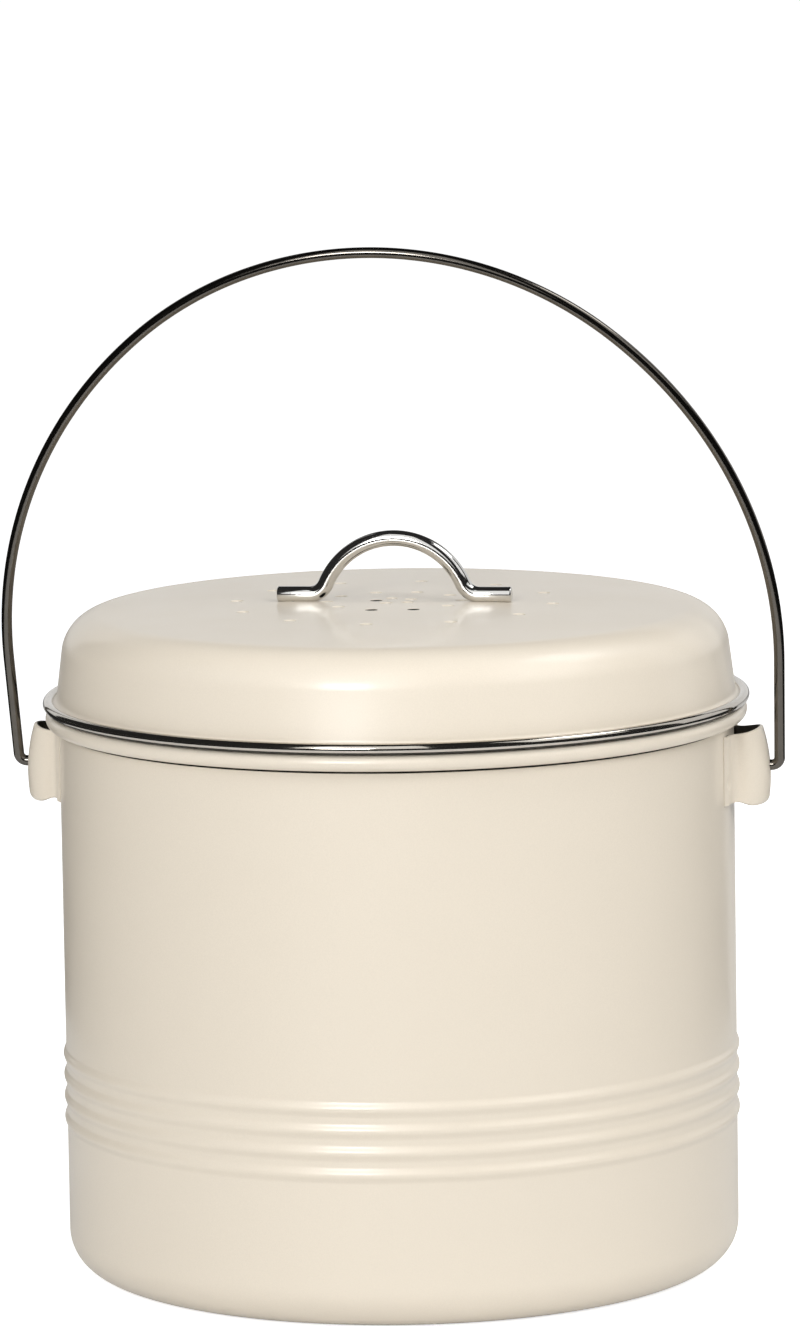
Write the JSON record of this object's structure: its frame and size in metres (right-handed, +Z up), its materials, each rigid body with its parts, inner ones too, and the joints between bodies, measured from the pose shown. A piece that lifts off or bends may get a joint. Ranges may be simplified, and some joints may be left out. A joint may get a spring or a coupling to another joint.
{
  "type": "compost caddy",
  "caption": "Round enamelled steel kitchen compost caddy with a wire carry bail, a lift-off vented lid holding a charcoal filter, and a plastic inner bucket.",
  "frame": {"origin": "middle of the base, on the surface that the caddy stands on", "axes": "+Z up, +X through the right-hand bail ear, -Y towards the front, the side that the bail leans to"},
  "size_m": [0.233, 0.2094, 0.3073],
  "materials": {
    "cream_enamel": "satin cream powder coat on steel",
    "bail_wire": "polished steel wire",
    "trim_steel": "polished steel",
    "handle_chrome": "bright chrome plate",
    "screw_steel": "zinc plated",
    "pale_plastic": "moulded, matt",
    "seal_rubber": "silicone rubber",
    "charcoal_felt": "charcoal-filled open foam",
    "bucket_plastic": "moulded polypropylene"
  },
  "bodies": {
    "caddy": {"body_shell": "cream_enamel", "left_ear": "cream_enamel", "right_ear": "cream_enamel"},
    "bail": {"carry_bail": "bail_wire"},
    "liner": {"inner_bucket": "bucket_plastic"},
    "lid": {"lid_shell": "cream_enamel", "lid_trim_ring": "trim_steel", "lid_locating_ring": "pale_plastic", "lid_seal": "seal_rubber", "lid_handle": "handle_chrome", "handle_washers": "screw_steel", "handle_screws": "screw_steel", "filter_holder": "pale_plastic"},
    "filter": {"filter_cover": "pale_plastic", "charcoal_filter": "charcoal_felt"}
  },
  "joints": [
    {"name": "bail_swing", "type": "hinge", "parent": "caddy", "child": "bail", "pos_m": [0, 0, 0.1502], "axis": [1, 0, 0], "range_deg": [-150, 120]},
    {"name": "lid_lift", "type": "slide", "parent": "caddy", "child": "lid", "axis": [0, 0, 1], "range_m": [0, 0.05]},
    {"name": "cover_twist", "type": "hinge", "parent": "lid", "child": "filter", "pos_m": [0, 0, 0.1826], "axis": [0, 0, 1], "range_deg": [0, 30]},
    {"name": "liner_lift", "type": "slide", "parent": "caddy", "child": "liner", "axis": [0, 0, 1], "range_m": [0, 0.018]}
  ]
}
